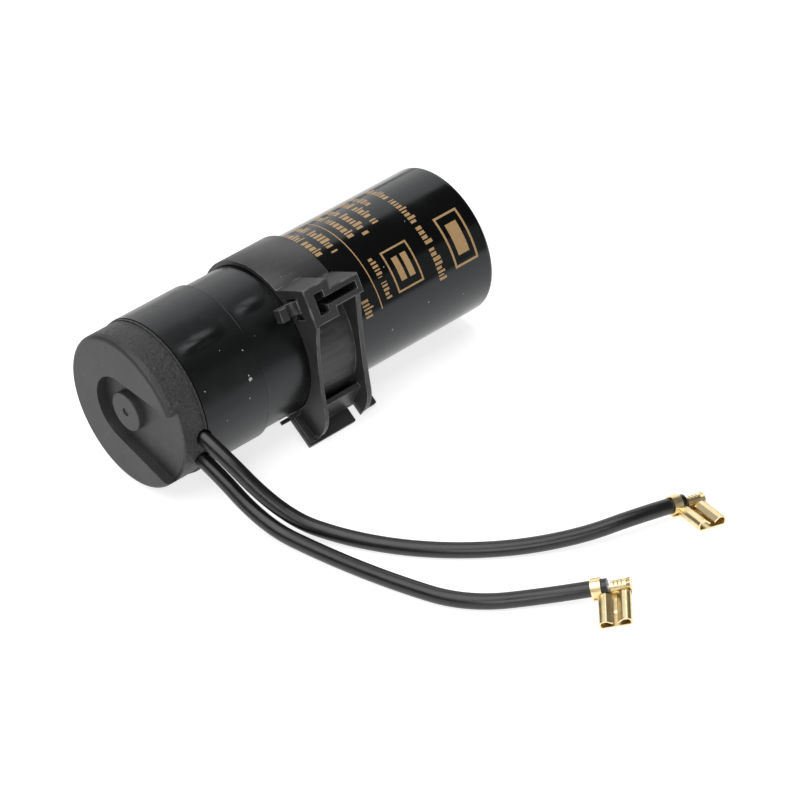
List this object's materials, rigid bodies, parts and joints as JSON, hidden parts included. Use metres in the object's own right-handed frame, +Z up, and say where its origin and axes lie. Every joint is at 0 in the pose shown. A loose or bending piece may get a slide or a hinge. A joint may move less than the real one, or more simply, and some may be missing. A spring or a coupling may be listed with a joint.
{
  "type": "motor start capacitor",
  "caption": "Black motor start capacitor on its side, with a moulded mounting clip and two black leads that end in brass flag terminals.",
  "frame": {"origin": "on the surface it lies on, under the centre of the body's box without the leads", "axes": "+X along the can from the cap to the closed base, -Y toward the clip and the leads, +Z up"},
  "size_m": [0.103, 0.1456, 0.0456],
  "materials": {
    "can_film": "glossy black film over the can",
    "cap_plastic": "fine matt texture",
    "sleeve_film": "satin shrink film",
    "clip_plastic": "matt moulding",
    "lead_skin": "satin insulation",
    "terminal_brass": "bright with tarnish in the folds",
    "tinned_strand": "tinned strands",
    "rivet_metal": "plain",
    "deck_board": "brown board",
    "seal_rubber": "matt"
  },
  "bodies": {
    "root": {"can": "can_film", "terminal_deck": "deck_board", "deck_seal": "seal_rubber", "vent_plug": "seal_rubber", "rivet_a": "rivet_metal", "rivet_b": "rivet_metal", "blade_a": "terminal_brass", "blade_b": "terminal_brass", "inner_flag_a": "terminal_brass", "inner_flag_b": "terminal_brass", "inner_strands_a": "tinned_strand", "inner_strands_b": "tinned_strand", "end_cap": "cap_plastic", "sleeve": "sleeve_film", "lead_a": "lead_skin", "lead_b": "lead_skin", "outer_flag_a": "terminal_brass", "outer_flag_b": "terminal_brass", "outer_strands_a": "tinned_strand", "outer_strands_b": "tinned_strand", "mounting_clip": "clip_plastic"}
  },
  "joints": []
}
